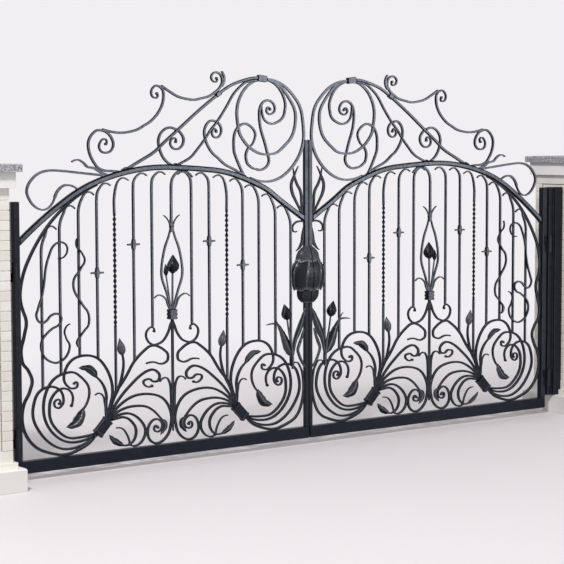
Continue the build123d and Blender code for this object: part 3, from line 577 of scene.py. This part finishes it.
def onPath(points, share):
    lengths = [math.dist(a, b) for a, b in zip(points, points[1:])]
    wanted = min(max(share, 0.0), 1.0) * sum(lengths)
    index = 0
    while index < len(lengths) - 1 and wanted > lengths[index]:
        wanted -= lengths[index]
        index += 1
    t = min(wanted / lengths[index], 1.0)
    before = Vector(points[max(index - 1, 0)])
    start, end = Vector(points[index]), Vector(points[index + 1])
    after = Vector(points[min(index + 2, len(points) - 1)])
    leave, arrive = (end - before) / 2, (after - start) / 2
    spot = (start * (2 * t**3 - 3 * t**2 + 1) + leave * (t**3 - 2 * t**2 + t)
            + end * (3 * t**2 - 2 * t**3) + arrive * (t**3 - t**2))
    way = (start * (6 * t**2 - 6 * t) + leave * (3 * t**2 - 4 * t + 1)
           + end * (6 * t - 6 * t**2) + arrive * (3 * t**2 - 2 * t))
    return spot, (way if way.length > 1e-6 else end - start).normalized()


def smoothBetween(values, share):
    step = min(max(share, 0.0), 1.0) * (len(values) - 1)
    low = min(int(step), len(values) - 2)
    t = step - low
    return values[low] + (values[low + 1] - values[low]) * t * t * (3 - 2 * t)


closeReach = 0.00001


# A leaf: a thin folded blade with a raised rib and slanting veins.
# Points are millimetres from the meeting line and above the ground.
blade = {
    "rows": 26,
    "columns": 10,
    "thick": 0.004,
    "veins": 8,
    "veinSlant": 1.3,
    "veinHeight": 0.0008,
    "ribWidth": 0.12,       # as a share of half the leaf
    "ribHeight": 0.0016,
    "ribWornWidth": 0.1,
    "fullHalf": 0.03,       # from this half width on, the fold has its full depth
    "edgeFrom": 0.8,        # outside this share the edge is worn
    "edgeWear": 0.8,
    "flankLit": 0.3,       # of the painted highlight stripe beside the rib
    "flankMiddle": -0.45,
    "flankNarrow": 2.2,
    "end": 0.02,
    "swellPower": 0.6,
}


def addBlade(bm, points, widths, out=0.0, fold=0.010, lightening=0.6, cup=0.0):
    def place(u, v):
        spot, way = onPath(points, u)
        across = Vector((-way.y, way.x))
        width = smoothBetween(widths, u) / 2000
        along = min(max(u, blade["end"]), 1 - blade["end"])
        swell = math.sin(math.pi * along) ** blade["swellPower"]
        full = min(width / blade["fullHalf"], 1)
        rib = math.exp(-(v / blade["ribWidth"]) ** 2) * blade["ribHeight"]
        turns = u * blade["veins"] - abs(v) * blade["veinSlant"]
        vein = blade["veinHeight"] * math.sin(2 * math.pi * turns) * (1 - v * v)
        depth = out + fold * swell * (1 - abs(v)) * full + (rib + vein) * swell
        depth += cup * swell * v * full
        edge = max(abs(v) - blade["edgeFrom"], 0) / (1 - blade["edgeFrom"])
        ribWorn = math.exp(-(v / blade["ribWornWidth"]) ** 2)
        wornAndLit = lightening * blade["edgeWear"] * max(edge, ribWorn)
        # a painted highlight stripe beside the rib
        flank = max(0.0, 1 - abs(v - blade["flankMiddle"]) * blade["flankNarrow"])
        wornAndLit += lightening * blade["flankLit"] * max(0.0, math.sin(math.pi * u)) * flank
        return (spot.x / 1000 + across.x * width * v, -depth,
                spot.y / 1000 + across.y * width * v), min(wornAndLit, 1.0)

    before = set(bm.faces)
    layGrid(bm, blade["rows"], blade["columns"], place)
    faces = [face for face in bm.faces if face not in before]
    bmesh.ops.recalc_face_normals(bm, faces=faces)
    bmesh.ops.solidify(bm, geom=faces, thickness=blade["thick"])


# A round rod along a path, closed at both ends; its front half is lightened as a painted highlight
rod = {"rowsPerSpan": 8, "columns": 10}


def addRod(bm, points, widths, out=0.0, lightening=0.0):
    def place(u, v):
        spot, way = onPath(points, u)
        across = Vector((-way.y, way.x))
        width = smoothBetween(widths, u) / 2000
        angle = math.pi * v
        return (spot.x / 1000 + across.x * width * math.cos(angle), -out - width * math.sin(angle),
                spot.y / 1000 + across.y * width * math.cos(angle)), lightening * max(math.sin(angle), 0)

    closeUp(bm, layGrid(bm, rod["rowsPerSpan"] * (len(points) - 1), rod["columns"], place))


def closeUp(bm, verts):
    bmesh.ops.remove_doubles(bm, verts=verts, dist=closeReach)
    left = [vert for vert in verts if vert.is_valid]
    rim = {edge for vert in left for edge in vert.link_edges if edge.is_boundary}
    bmesh.ops.holes_fill(bm, edges=list(rim), sides=0)
    bmesh.ops.recalc_face_normals(
        bm, faces=list({face for vert in left for face in vert.link_faces}))


# A bud: petals wrapped round each other, from its base to its tip
bud = {
    "profile": (0.30, 0.80, 1.02, 1.06, 0.98, 0.82, 0.60, 0.36, 0.10),
    "petals": 3,
    "twist": 0.18,
    "overlap": 0.16,        # how far a petal's free edge stands out
    "round": 1.04,
    "bulge": 1.1,
    "lightening": 0.6,
    "rimNarrow": 7,
    "rows": 18,
    "columns": 30,
}


def addBud(bm, base, tip, radius, out=0.0, body=0.0):
    foot, point = Vector(base) / 1000, Vector(tip) / 1000
    axis = point - foot
    way = axis.normalized()
    across = Vector((-way.y, way.x))

    def place(u, v):
        turn = (v + 1) / 2 + bud["twist"] * u
        wrap = (turn * bud["petals"]) % 1.0
        lift = bud["overlap"] * (1 - wrap) * math.sin(math.pi * min(u * bud["bulge"], 1.0))
        reach = smoothBetween(bud["profile"], u) * radius / 1000 * (bud["round"] + lift)
        angle = math.pi * v
        centre = foot + axis * u
        rim = max(0.0, 1 - wrap * bud["rimNarrow"]) * (0.3 + 0.7 * u)
        return (centre.x + across.x * reach * math.cos(angle), -out - reach * math.sin(angle),
                centre.y + across.y * reach * math.cos(angle)), max(bud["lightening"] * rim, body)

    closeUp(bm, layGrid(bm, bud["rows"], bud["columns"], place))


def onLeaf(bm, side):
    turn = -1 if side == "left" else 1
    place = Matrix.Translation((meetingX, 0, 0)) @ Matrix.Diagonal((turn, 1, 1, 1))
    bmesh.ops.transform(bm, verts=bm.verts[:], matrix=place)
    if turn < 0:
        bmesh.ops.reverse_faces(bm, faces=bm.faces[:])


def newLeafMesh():
    bm = bmesh.new()
    bm.verts.layers.float.new("wornAndLit")
    return bm


bouquetLeaves = {
    "middle": 1125.0,   # the two bouquets mirror each other about this line
    "blades": (
        ([(1812, 424), (1826, 386), (1850, 346), (1888, 320), (1940, 311)],
         (15, 58, 70, 42, 3), 0.016, -0.006),
        ([(1710, 614), (1738, 652), (1780, 680), (1845, 686)], (15, 46, 50, 30, 3), 0.014, 0.006),
        ([(1214, 292), (1190, 258), (1200, 222), (1228, 188)], (10, 40, 42, 24, 3), 0.012, 0.0),
        ([(1513, 148), (1552, 167), (1590, 193), (1620, 228)], (13, 36, 44, 30, 3), 0.013, 0.006),
    ),
    "bud": ((1514, 742), (1536, 856), 23),
    "budTone": 0.3,
}


def buildBouquetLeaves(side):
    bm = newLeafMesh()
    for turned in (False, True):
        def there(points):
            if not turned:
                return points
            return [(2 * bouquetLeaves["middle"] - across, up) for across, up in points]

        for points, widths, fold, cup in bouquetLeaves["blades"]:
            addBlade(bm, there(points), widths, fold=fold, cup=-cup if turned else cup)
        base, tip, radius = bouquetLeaves["bud"]
        base, tip = there([base, tip])
        addBud(bm, base, tip, radius, body=bouquetLeaves["budTone"])
    onLeaf(bm, side)
    newPiece(side + "BouquetLeaves", bm, "forged_ornament", side + "_leaf",
             [side + "_bouquet_leaves"])


lilySpray = {
    "out": 0.016,       # it lies in front of the pickets
    "bladeOut": 0.010,
    # painted highlight on the stem's front half
    "stemFrontLit": 0.3,
    # worn edges and rib, with a painted highlight stripe beside it
    "bladeWornAndLit": 0.75,
    "stem": ([(142, 545), (146, 640), (158, 724), (176, 805), (191, 896)],
             (22, 20, 17, 14, 12)),
    "blades": (
        ([(157, 632), (172, 668), (190, 706), (212, 756), (238, 812), (268, 864)],
         (8, 62, 76, 66, 50, 32, 16), 0.014, -0.006),
        ([(262, 860), (290, 871), (330, 872), (372, 866)], (18, 13, 10, 3), 0.004, 0.0),
        ([(266, 858), (282, 886), (302, 914)], (16, 10, 2), 0.003, 0.0),
        ([(27, 968), (50, 904), (70, 854), (93, 804), (120, 748), (132, 691), (144, 628)],
         (4, 38, 52, 54, 40, 28, 22), 0.013, 0.006),
        ([(44, 820), (60, 770), (84, 714), (97, 676), (83, 630), (55, 577), (30, 548)],
         (10, 22, 26, 24, 22, 20, 14), 0.008, 0.0),
    ),
    "bud": ((188, 892), (216, 1002), 30),
}


def buildLilySpray(side):
    bm = newLeafMesh()
    addRod(bm, *lilySpray["stem"], out=lilySpray["out"], lightening=lilySpray["stemFrontLit"])
    for points, widths, fold, cup in lilySpray["blades"]:
        addBlade(bm, points, widths, out=lilySpray["bladeOut"], fold=fold, cup=cup,
                 lightening=lilySpray["bladeWornAndLit"])
    base, tip, radius = lilySpray["bud"]
    addBud(bm, base, tip, radius, out=lilySpray["out"])
    onLeaf(bm, side)
    newPiece(side + "LilySpray", bm, "forged_ornament", side + "_leaf",
             [side + "_lily_spray"])


basketBuds = (((1120, 1262), (1118, 1384), 35), ((1173, 1246), (1176, 1326), 14))


def buildBasketBuds(side):
    bm = newLeafMesh()
    for base, tip, radius in basketBuds:
        addBud(bm, base, tip, radius)
    onLeaf(bm, side)
    newPiece(side + "BasketBuds", bm, "forged_ornament", side + "_leaf")


# Two bars of each leaf are twisted: flat in section over the twist, square above and below
twistedBars = {
    "paths": (
        [(1565, 500), (1565, 900), (1565, 1300), (1565, 1640), (1565, 1772), (1542, 1867),
         (1500, 1899), (1455, 1883)],
        [(686, 500), (686, 900), (686, 1300), (686, 1640), (686, 1780), (709, 1875),
         (751, 1906), (796, 1890)],
    ),
    "twist": (935.0, 1672.0),
    "notch": 33.0,          # about half a turn
    "square": (8.0, 8.0),
    "flat": (12.0, 5.2),
    "ease": 25.0,           # over which the square bar turns flat
    "squarePower": 5.0,     # how square the section's corners are
    "flatPower": 2.4,
    "taperFrom": 0.9,       # share of the length where the tip starts to narrow
    "tip": 0.6,
    "wornFrom": 0.9,
    "lightening": 0.35,
    "rows": 380,
    "columns": 16,
}


def addTwistedBar(bm, points):
    bar = twistedBars
    low, high = bar["twist"]
    bend = points[-4][1]

    def place(u, v):
        spot, way = onPath(points, u)
        across = Vector((-way.y, way.x))
        ease = min(max((spot.y - low) / bar["ease"], 0), 1)
        ease *= min(max((high - spot.y) / bar["ease"], 0), 1)
        halves = [a + (b - a) * ease for a, b in zip(bar["square"], bar["flat"])]
        halfTurns = round((high - low) / bar["notch"])
        turn = math.pi * halfTurns * min(max(spot.y - low, 0), high - low) / (high - low)
        angle = math.pi * v
        power = bar["squarePower"] + (bar["flatPower"] - bar["squarePower"]) * ease
        reach = ((abs(math.cos(angle)) / halves[0]) ** power
                 + (abs(math.sin(angle)) / halves[1]) ** power) ** (-1 / power)
        ending = 0 if spot.y < bend else max(u - bar["taperFrom"], 0) / (1 - bar["taperFrom"])
        taper = 1 - (1 - bar["tip"]) * ending
        side = reach * taper * math.cos(angle + turn) / 1000
        deep = reach * taper * math.sin(angle + turn) / 1000
        corner = max(0.0, abs(math.cos(angle)) - bar["wornFrom"]) / (1 - bar["wornFrom"])
        wornAndLit = bar["lightening"] * ease * corner
        return (spot.x / 1000 + across.x * side, deep, spot.y / 1000 + across.y * side), wornAndLit

    closeUp(bm, layGrid(bm, bar["rows"], bar["columns"], place))


def buildTwistedBars(side):
    bm = newLeafMesh()
    for points in twistedBars["paths"]:
        addTwistedBar(bm, points)
    onLeaf(bm, side)
    low, high = [height / 1000 for height in twistedBars["twist"]]
    for face in bm.faces:
        face.material_index = int(low < face.calc_center_median().z < high)
    piece = newPiece(side + "TwistedBars", bm, "wrought_iron", side + "_leaf",
                     [side + "_twisted_bars"])
    piece.data.materials.append(finishes["frame_steel"])


# The flower over the lock: a cup, a bell of petals and a calyx, in two halves
lockFlower = {
    "petals": 7,
    "seam": 0.004,      # each half stops this far from the meeting line
    "flat": 0.54,       # depth as a share of width
    "swirl": -0.22,     # the petals lean a little towards their tips
    "curlFrom": 0.72,   # outside this share a petal's edges curl out
    "lip": 9,           # its foot turns out over a ninth of its height
    "lipReach": 0.004,
    "hollow": 0.003,    # the middle of a petal lies this much deeper
}
# petal rims are lightened as wear and as painted highlight lines
flowerShells = (
    dict(heights=(1.003, 1.088), widths=(46, 66, 79, 86, 90, 92, 93), shift=0.5, scallop=0.0,
         rim=0.003, rimWornAndLit=0.2, lipWear=0.5, body=0.04, rows=12),
    dict(heights=(1.086, 1.314), widths=(112, 124, 131, 136, 139, 141, 141, 139, 134, 124, 106, 78),
         shift=0.0, scallop=0.024, rim=0.006, rimWornAndLit=1.0, lipWear=0.4, body=0.03, rows=26),
    # the calyx's larger body share lightens it all over: a painted highlight
    dict(heights=(1.300, 1.404), widths=(104, 98, 95, 92, 86, 77, 64, 48, 30), shift=0.5,
         scallop=-0.016, rim=0.005, rimWornAndLit=0.4, lipWear=0.6, body=0.16, rows=14),
)


def addFlowerShell(bm, heights, widths, shift, scallop, rim, rimWornAndLit, lipWear, body, rows):
    foot, head = heights

    def place(u, v):
        angle = math.pi * v
        leaning = angle + lockFlower["swirl"] * u * u
        turn = (leaning + math.pi / 2) / (2 * math.pi) * lockFlower["petals"] + 0.5 + shift
        edge = abs(turn % 1.0 - 0.5) * 2      # 0 in a petal's middle, 1 at its edge
        curl = max(edge - lockFlower["curlFrom"], 0) / (1 - lockFlower["curlFrom"])
        lip = max(0.0, 1 - u * lockFlower["lip"])
        z = foot + (head - foot) * u + scallop * edge * edge * (1 - u) ** 3
        wide = smoothBetween(widths, u) / 1000
        wide += rim * curl * curl * math.sin(math.pi * min(u + 0.15, 1.0))
        wide += lockFlower["lipReach"] * lip
        wide -= lockFlower["hollow"] * (1 - curl) * (1 - edge * edge)
        wornAndLit = max(rimWornAndLit * curl ** 3 * (0.15 + 0.85 * u), lipWear * lip, body)
        return (wide * math.cos(angle), wide * lockFlower["flat"] * math.sin(angle), z), wornAndLit

    closeUp(bm, layGrid(bm, rows, 12 * lockFlower["petals"], place))


def buildLockFlower(side):
    bm = newLeafMesh()
    for shell in flowerShells:
        addFlowerShell(bm, **shell)
    turn = -1 if side == "left" else 1
    cut = bmesh.ops.bisect_plane(
        bm, geom=bm.verts[:] + bm.edges[:] + bm.faces[:],
        plane_co=(turn * lockFlower["seam"], 0, 0), plane_no=(-turn, 0, 0), clear_outer=True)
    bmesh.ops.holes_fill(bm, edges=[item for item in cut["geom_cut"]
                                    if isinstance(item, bmesh.types.BMEdge)], sides=0)
    bmesh.ops.recalc_face_normals(bm, faces=bm.faces[:])
    bmesh.ops.translate(bm, verts=bm.verts[:], vec=(meetingX, 0, 0))
    newPiece(side + "LockFlower", bm, "forged_ornament", side + "_leaf",
             [side + "_lock_cover"])


hingeBolts = {
    "radius": 0.0065,
    "height": 0.004,
    "spread": 0.034,    # between the two bolts of a strap
    "reach": 0.0255,    # from the pin's middle
    "face": -0.033,     # front of the straps
    "knuckle": 0.062,
    "play": 0.002,      # between the two knuckles
    "corners": 6,
    "taper": 0.9,
}


def buildHingeBolts(side):
    pinLow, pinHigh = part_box(side + "_hinge_pins")
    socketLow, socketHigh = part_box(side + "_hinge_sockets")
    left = side == "left"
    pinX = (pinHigh.x + socketLow.x) / 2 if left else (pinLow.x + socketHigh.x) / 2
    half = hingeBolts["knuckle"] / 2
    drop = hingeBolts["knuckle"] + hingeBolts["play"]
    strapSides = (
        ("_hinge_pins", "posts", -1 if left else 1, (pinLow.z + half, socketHigh.z - half - drop)),
        ("_hinge_sockets", side + "_leaf", 1 if left else -1,
         (socketLow.z + half, socketHigh.z - half)),
    )
    for node, body, way, heights in strapSides:
        bm = newLeafMesh()
        for height in heights:
            for step in (-0.5, 0.5):
                place = Matrix.Translation((pinX + way * hingeBolts["reach"],
                                            hingeBolts["face"] - hingeBolts["height"] / 2,
                                            height + step * hingeBolts["spread"]))
                bmesh.ops.create_cone(
                    bm, cap_ends=True, segments=hingeBolts["corners"],
                    radius1=hingeBolts["radius"],
                    radius2=hingeBolts["radius"] * hingeBolts["taper"],
                    depth=hingeBolts["height"],
                    matrix=place @ Matrix.Rotation(math.pi / 2, 4, "X"))
        newPiece(side + node.title().replace("_", "") + "Bolts", bm, "hinge_steel", body)


for side in sides:
    buildBouquetLeaves(side)
    buildLilySpray(side)
    buildBasketBuds(side)
    buildTwistedBars(side)
    buildLockFlower(side)
    buildHingeBolts(side)
print("leaves, lilies and lock flower modelled")

studio = {
    "floorColour": (0.80, 0.766, 0.78, 1),
    "bounceColour": (0.30, 0.29, 0.30, 1),   # what the floor throws back on the iron
    "backColour": (0.887, 0.863, 0.887),
    "floorReach": 90.0,
    "fadeStart": 0.7,       # behind the gate the floor melts into the backdrop
    "fadeEnd": 6.0,
    "frontShare": -0.6,     # in front of it and beside it, more slowly
    "sideShare": 0.3,
    "floorRough": 0.7,
    "skyColour": (1.0, 0.985, 1.0, 1),
    "skyStrength": 0.45,
    "aim": Vector((2.7, 0.0, 1.2)),
}
lamps = {
    "keyLight": dict(place=(-4.5, -5.5, 10.0), size=(1.6, 1.6), power=960.0),
    "sheenLight": dict(place=(8.5, -8.0, 2.2), size=(3.0, 3.0), power=260.0),
    "rimLight": dict(place=(1.0, 9.0, 6.5), size=(8.0, 4.0), power=120.0),
}


def buildFloor():
    bm = bmesh.new()
    bmesh.ops.create_grid(bm, x_segments=1, y_segments=1, size=studio["floorReach"])
    bmesh.ops.translate(bm, verts=bm.verts[:], vec=(studio["aim"].x, 0.0, groundZ))
    mesh = bpy.data.meshes.new("floor")
    bm.to_mesh(mesh)
    bm.free()
    floor = bpy.data.objects.new("floor", mesh)
    bpy.context.scene.collection.objects.link(floor)
    material, tree, shader, coords = newMaterial("floorFinish")
    tone = addNode(tree, "ShaderNodeMix", data_type="RGBA")
    tone.inputs["A"].default_value = studio["bounceColour"]
    tone.inputs["B"].default_value = studio["floorColour"]
    shader.inputs["Roughness"].default_value = studio["floorRough"]
    mesh.materials.append(material)
    glow = addNode(tree, "ShaderNodeEmission", Strength=1.0)
    glow.inputs["Color"].default_value = (*studio["backColour"], 1)
    axes = addNode(tree, "ShaderNodeSeparateXYZ")
    fade = addNode(tree, "ShaderNodeMapRange", interpolation_type="SMOOTHSTEP")
    fade.inputs["From Min"].default_value = studio["fadeStart"]
    fade.inputs["From Max"].default_value = studio["fadeEnd"]
    path = addNode(tree, "ShaderNodeLightPath")
    seen = addNode(tree, "ShaderNodeMath", operation="MULTIPLY")
    mix = addNode(tree, "ShaderNodeMixShader")
    fromMiddle = addNode(tree, "ShaderNodeVectorMath", operation="SUBTRACT")
    fromMiddle.inputs[1].default_value = (meetingX, 0, 0)
    front = addNode(tree, "ShaderNodeMath", operation="MULTIPLY")
    front.inputs[1].default_value = studio["frontShare"]
    deep = addNode(tree, "ShaderNodeMath", operation="MAXIMUM")
    aside = addNode(tree, "ShaderNodeMath", operation="MULTIPLY")
    aside.inputs[1].default_value = studio["sideShare"]
    both = addNode(tree, "ShaderNodeCombineXYZ")
    distance = addNode(tree, "ShaderNodeVectorMath", operation="LENGTH")
    link(tree, coords.outputs["Object"], fromMiddle.inputs[0])
    link(tree, fromMiddle.outputs["Vector"], axes.inputs["Vector"])
    link(tree, axes.outputs["Y"], front.inputs[0])
    link(tree, axes.outputs["Y"], deep.inputs[0])
    link(tree, front.outputs["Value"], deep.inputs[1])
    link(tree, axes.outputs["X"], aside.inputs[0])
    link(tree, deep.outputs["Value"], both.inputs["Y"])
    link(tree, aside.outputs["Value"], both.inputs["X"])
    link(tree, both.outputs["Vector"], distance.inputs[0])
    link(tree, distance.outputs["Value"], fade.inputs["Value"])
    link(tree, fade.outputs["Result"], seen.inputs[0])
    link(tree, path.outputs["Is Camera Ray"], seen.inputs[1])
    direct = addNode(tree, "ShaderNodeMath", operation="MAXIMUM")
    link(tree, path.outputs["Is Camera Ray"], direct.inputs[0])
    link(tree, path.outputs["Is Glossy Ray"], direct.inputs[1])
    link(tree, direct.outputs["Value"], tone.inputs["Factor"])
    link(tree, tone.outputs["Result"], shader.inputs["Base Color"])
    link(tree, seen.outputs["Value"], mix.inputs["Fac"])
    link(tree, shader.outputs["BSDF"], mix.inputs[1])
    link(tree, glow.outputs["Emission"], mix.inputs[2])
    link(tree, mix.outputs["Shader"], tree.nodes["Material Output"].inputs["Surface"])


def buildSky():
    world = bpy.data.worlds.new("studioSky")
    bpy.context.scene.world = world
    world.use_nodes = True
    tree = world.node_tree
    sky = tree.nodes["Background"]
    sky.inputs["Color"].default_value = studio["skyColour"]
    sky.inputs["Strength"].default_value = studio["skyStrength"]
    shown = addNode(tree, "ShaderNodeBackground", Strength=1.0)
    shown.inputs["Color"].default_value = (*studio["backColour"], 1)
    path = addNode(tree, "ShaderNodeLightPath")
    seen = addNode(tree, "ShaderNodeMath", operation="MAXIMUM")
    mix = addNode(tree, "ShaderNodeMixShader")
    link(tree, path.outputs["Is Camera Ray"], seen.inputs[0])
    link(tree, path.outputs["Is Glossy Ray"], seen.inputs[1])
    link(tree, seen.outputs["Value"], mix.inputs["Fac"])
    link(tree, sky.outputs["Background"], mix.inputs[1])
    link(tree, shown.outputs["Background"], mix.inputs[2])
    link(tree, mix.outputs["Shader"], tree.nodes["World Output"].inputs["Surface"])


def addLamp(name, place, size, power):
    lamp = bpy.data.lights.new(name, "AREA")
    lamp.shape = "RECTANGLE"
    lamp.size, lamp.size_y = size
    lamp.energy = power
    holder = bpy.data.objects.new(name, lamp)
    aim = studio["aim"] - Vector(place)
    holder.location = place
    holder.rotation_euler = aim.to_track_quat("-Z", "Y").to_euler()
    holder.visible_camera = False
    bpy.context.scene.collection.objects.link(holder)


buildFloor()
buildSky()
for name, lamp in lamps.items():
    addLamp(name, **lamp)

view = {
    "place": (-4.7165, -9.861, 2.171),
    "turn": 36.129,      # degrees from straight across the gate
    "dip": 4.749,        # degrees below level
    "roll": 0.149,
    "lens": 112.7,
    "sensor": 36.0,
}


def buildCamera():
    camera = bpy.data.cameras.new("camera")
    camera.lens = view["lens"]
    camera.sensor_width = view["sensor"]
    camera.clip_end = 200
    holder = bpy.data.objects.new("camera", camera)
    turn = Matrix.Rotation(-math.radians(view["turn"]), 4, "Z")
    dip = Matrix.Rotation(math.radians(90 - view["dip"]), 4, "X")
    roll = Matrix.Rotation(-math.radians(view["roll"]), 4, "Z")
    holder.matrix_world = Matrix.Translation(view["place"]) @ turn @ dip @ roll
    bpy.context.scene.collection.objects.link(holder)
    bpy.context.scene.camera = holder


buildCamera()
bpy.context.scene.view_settings.view_transform = "Standard"
print("studio ready")
